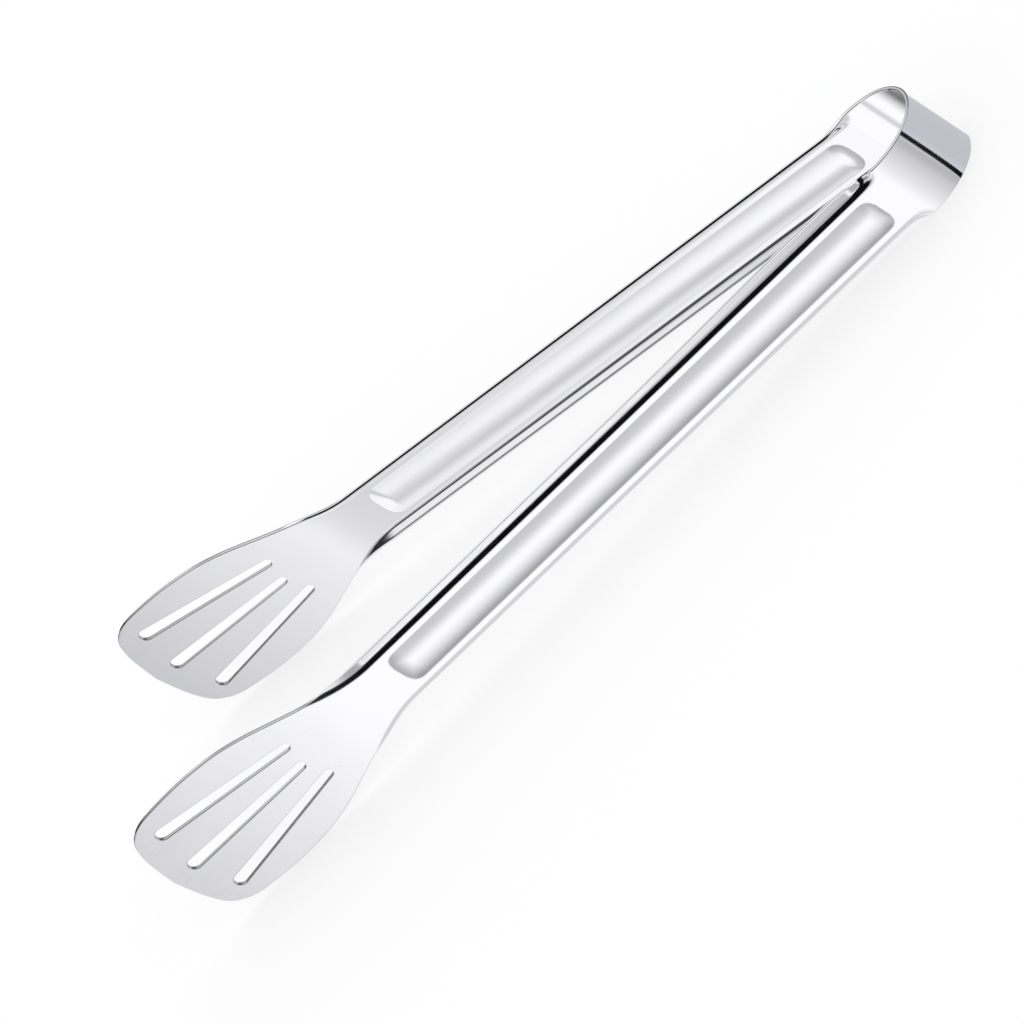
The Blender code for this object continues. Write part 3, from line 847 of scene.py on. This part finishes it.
# What the steel sees, as pairs of a place and its grey. The heights go by the sine of the
# elevation: white paper below the horizon, a dark room above it and a white ceiling panel. The
# sides go by the azimuth in degrees, and say where other heights take over: tall paper that
# reaches above the horizon, a dark wall at the back, and a lighter room to the rear. The paper
# and the ceiling panel dim by azimuth too, and the room has a lilac side.
surroundings = {
    "heights": ((-1.0, 0.62), (-0.707, 0.63), (-0.669, 0.66), (-0.629, 0.75), (-0.588, 0.87),
                (-0.545, 0.97), (-0.50, 1.0), (-0.438, 0.96), (-0.391, 0.89), (-0.334, 0.79),
                (-0.281, 0.66), (-0.222, 0.50), (-0.165, 0.33), (-0.150, 0.004), (0.766, 0.004),
                (0.785, 0.60), (0.7965, 0.67), (0.806, 0.76), (0.812, 0.87), (0.825, 1.0)),
    "tallHeights": ((-1.0, 0.62), (-0.819, 0.75), (-0.707, 0.85), (-0.545, 0.97), (-0.50, 1.0),
                    (-0.15, 0.86), (-0.060, 0.80), (0.38, 0.62), (0.43, 0.004), (0.70, 0.004),
                    (0.735, 0.60), (0.77, 0.80), (0.806, 0.88), (0.825, 1.0)),
    "tallSide": ((-180, 1.0), (-130, 1.0), (-124, 0.0), (180, 0.0)),
    "backHeights": ((-1.0, 0.80), (-0.62, 0.75), (-0.56, 0.35), (-0.48, 0.10), (0.20, 0.05),
                    (0.34, 0.55), (0.55, 0.62), (0.75, 0.85), (1.0, 1.0)),
    "backSide": ((-180, 0.0), (108, 0.0), (117, 1.0), (128, 1.0), (138, 0.0), (180, 0.0)),
    "rearHeights": ((-1.0, 0.62), (-0.588, 0.87), (-0.50, 1.0), (-0.30, 0.97), (-0.12, 0.80),
                    (0.0, 0.42), (0.20, 0.16), (0.60, 0.16), (0.766, 0.50), (0.80, 0.90),
                    (1.0, 1.0)),
    "rearSide": ((-180, 0.0), (-45, 0.0), (-20, 1.0), (100, 1.0), (108, 0.0), (180, 0.0)),
    "paper": ((-180, 1.0), (-144.5, 1.0), (-141, 0.80), (-138.5, 0.62), (-137.5, 0.60),
              (-136, 0.66), (-134.5, 0.71), (-133.6, 0.78), (-132.8, 0.90), (-131.8, 1.0),
              (-105, 1.0), (-97, 0.90), (-90, 0.82), (-81, 0.75), (-73, 0.68), (-64, 0.62),
              (-55, 0.52), (-47, 0.50), (-38, 0.72), (-20, 0.62), (78, 0.62), (90, 1.0),
              (180, 1.0)),
    "panel": ((-180, 1.0), (-149.8, 1.0), (-149.4, 0.42), (-136, 0.42), (-134.8, 1.0),
              (-130.2, 1.0), (-129.3, 0.85), (-128.3, 0.48), (-127.3, 0.38), (-100, 0.38),
              (-80, 0.9), (180, 1.0)),
    "lilacSide": ((-180, 0.0), (-60, 0.0), (-30, 1.0), (75, 1.0), (90, 0.0), (180, 0.0)),
    "strength": 1.10,
    "white": (0.985, 0.985, 1.0, 1.0),
    "lilac": (0.925, 0.93, 1.0, 1.0),
}

studio = {
    "floorSize": 6.0,
    "floorDrop": 0.0001,     # keeps the floor clear of the steel that rests on it
    "floorColour": (0.97, 0.97, 0.97, 1.0),
    "floorGlow": 0.72,       # share of plain white in what the camera sees of the floor
    "skyStrength": 1.0,
    "lampPower": 1.5,
    "lampSize": 0.9,
    "lampPlace": (0.1, 0.7, 1.4),
}

# Narrow dark card lying in front of the bow. The camera doesn't see the card itself, only its
# reflection, which is the dark line across the outside of the bow.
card = {
    "corners": ((0.1432, -0.00905), (0.2074, -0.0608), (0.2176, -0.0512), (0.1442, -0.00845)),
    "height": 0.00002,
    "colour": (0.01, 0.01, 0.01, 1.0),
}


def addStage(name, corners, material):
    # one flat face that belongs to the studio
    mesh = bpy.data.meshes.new(name)
    mesh.from_pydata(corners, [], [(0, 1, 2, 3)])
    mesh.materials.append(material)
    thing = bpy.data.objects.new(name, mesh)
    bpy.context.scene.collection.objects.link(thing)
    return thing


def plainMaterial(name, colour):
    # matt, without any gloss
    material = bpy.data.materials.new(name)
    material.use_nodes = True
    shader = material.node_tree.nodes["Principled BSDF"]
    shader.inputs["Base Color"].default_value = colour
    shader.inputs["Roughness"].default_value = 1.0
    shader.inputs["Specular IOR Level"].default_value = 0.0
    return material


def makeFloor():
    # pale paper that the camera sees partly as plain white, and that keeps the shadow
    size = studio["floorSize"] / 2.0
    corners = [(size * x, size * y, -studio["floorDrop"])
               for x, y in ((-1, -1), (1, -1), (1, 1), (-1, 1))]
    paper = plainMaterial("tablePaper", studio["floorColour"])
    nodes, links = paper.node_tree.nodes, paper.node_tree.links
    glow = nodes.new("ShaderNodeEmission")
    rays = nodes.new("ShaderNodeLightPath")
    share = nodes.new("ShaderNodeMath")
    share.operation = "MULTIPLY"
    share.inputs[1].default_value = studio["floorGlow"]
    mix = nodes.new("ShaderNodeMixShader")
    links.new(rays.outputs["Is Camera Ray"], share.inputs[0])
    links.new(share.outputs["Value"], mix.inputs["Fac"])
    links.new(nodes["Principled BSDF"].outputs["BSDF"], mix.inputs[1])
    links.new(glow.outputs["Emission"], mix.inputs[2])
    links.new(mix.outputs["Shader"], nodes["Material Output"].inputs["Surface"])
    table = addStage("table", corners, paper)
    table.visible_glossy = False     # the steel sees the surroundings instead, paper among them


def makeCard():
    corners = [(x, y, card["height"]) for x, y in card["corners"]]
    flag = addStage("darkCard", corners, plainMaterial("blackCard", card["colour"]))
    flag.visible_camera = False
    flag.visible_diffuse = False
    flag.visible_shadow = False


def makeSky():
    # white to the camera, plain soft light to the floor, and the surroundings to the steel
    world = bpy.data.worlds.new("studioSky")
    bpy.context.scene.world = world
    world.use_nodes = True
    nodes, links = world.node_tree.nodes, world.node_tree.links
    nodes.clear()
    output = nodes.new("ShaderNodeOutputWorld")
    background = nodes.new("ShaderNodeBackground")
    coordinate = nodes.new("ShaderNodeTexCoord")
    split = nodes.new("ShaderNodeSeparateXYZ")
    links.new(coordinate.outputs["Generated"], split.inputs[0])

    def math(operation, first, second):
        node = nodes.new("ShaderNodeMath")
        node.operation = operation
        for socket, value in zip(node.inputs, (first, second)):
            if isinstance(value, float):
                socket.default_value = value
            else:
                links.new(value, socket)
        return node.outputs["Value"]

    def ramp(source, low, high, stops):
        lift = nodes.new("ShaderNodeMapRange")
        lift.inputs["From Min"].default_value = low
        lift.inputs["From Max"].default_value = high
        links.new(source, lift.inputs["Value"])
        node = nodes.new("ShaderNodeValToRGB")
        elements = node.color_ramp.elements
        places = [((place - low) / (high - low), grey) for place, grey in stops]
        for place, _ in places[2:]:
            elements.new(place)
        for element, (place, grey) in zip(elements, places):
            element.position = place
            element.color = (grey, grey, grey, 1.0)
        links.new(lift.outputs["Result"], node.inputs["Fac"])
        return node.outputs["Color"]

    azimuth = math("ARCTAN2", split.outputs["Y"], split.outputs["X"])

    def around(label):
        stops = [(np.radians(place), grey) for place, grey in surroundings[label]]
        return ramp(azimuth, -np.pi, np.pi, stops)

    def between(factor, first, second):
        rest = math("SUBTRACT", 1.0, factor)
        return math("ADD", math("MULTIPLY", factor, second), math("MULTIPLY", rest, first))

    def upward(label):
        return ramp(split.outputs["Z"], -1.0, 1.0, surroundings[label])

    height = between(around("tallSide"), upward("heights"), upward("tallHeights"))
    height = between(around("backSide"), height, upward("backHeights"))
    height = between(around("rearSide"), height, upward("rearHeights"))
    side = between(math("GREATER_THAN", split.outputs["Z"], 0.0), around("paper"), around("panel"))
    seen = math("MULTIPLY", math("MULTIPLY", height, side), surroundings["strength"])
    rays = nodes.new("ShaderNodeLightPath")
    plain = math("MULTIPLY", math("SUBTRACT", 1.0, rays.outputs["Is Glossy Ray"]),
                 studio["skyStrength"])
    glossy = math("MULTIPLY", rays.outputs["Is Glossy Ray"], seen)
    light = math("MAXIMUM", math("ADD", plain, glossy), rays.outputs["Is Camera Ray"])
    links.new(light, background.inputs["Strength"])
    tint = nodes.new("ShaderNodeMix")
    tint.data_type = "RGBA"
    colours = [socket for socket in tint.inputs if socket.type == "RGBA"]
    colours[0].default_value = surroundings["white"]
    colours[1].default_value = surroundings["lilac"]
    links.new(math("MULTIPLY", rays.outputs["Is Glossy Ray"], around("lilacSide")),
              tint.inputs["Factor"])
    links.new([socket for socket in tint.outputs if socket.type == "RGBA"][0],
              background.inputs["Color"])
    links.new(background.outputs["Background"], output.inputs["Surface"])


def makeLamp():
    light = bpy.data.lights.new("softbox", "AREA")
    light.shape = "SQUARE"
    light.size = studio["lampSize"]
    light.energy = studio["lampPower"]
    lamp = bpy.data.objects.new("softbox", light)
    bpy.context.scene.collection.objects.link(lamp)
    lamp.location = studio["lampPlace"]
    lamp.rotation_euler = (-lamp.location).to_track_quat("-Z", "Y").to_euler()
    lamp.visible_glossy = False


makeFloor()
makeCard()
makeSky()
makeLamp()
print("surroundings made")

# The camera looks at the aim from this azimuth and elevation, and is rolled about its own view.
photoCamera = {
    "aim": (-0.0192, 0.0, 0.0112),
    "distance": 2.2983,
    "azimuth": np.radians(33.903),
    "elevation": np.radians(29.649),
    "roll": np.radians(-60.879),
    "lens": 305.43,
    "sensor": 36.0,
    "clipEnd": 20.0,
}


def makeCamera():
    camera = bpy.data.objects.new("camera", bpy.data.cameras.new("camera"))
    bpy.context.scene.collection.objects.link(camera)
    camera.data.lens = photoCamera["lens"]
    camera.data.sensor_width = photoCamera["sensor"]
    camera.data.clip_end = photoCamera["clipEnd"]
    azimuth, elevation = photoCamera["azimuth"], photoCamera["elevation"]
    back = Vector((np.sin(azimuth) * np.cos(elevation), -np.cos(azimuth) * np.cos(elevation),
                   np.sin(elevation)))
    turn = back.to_track_quat("Z", "Y").to_matrix().to_4x4()
    place = Vector(photoCamera["aim"]) + back * photoCamera["distance"]
    camera.matrix_world = (Matrix.Translation(place) @ turn
                           @ Matrix.Rotation(photoCamera["roll"], 4, "Z"))
    bpy.context.scene.camera = camera


makeCamera()
bpy.context.scene.view_settings.view_transform = "Standard"

print("studio ready")
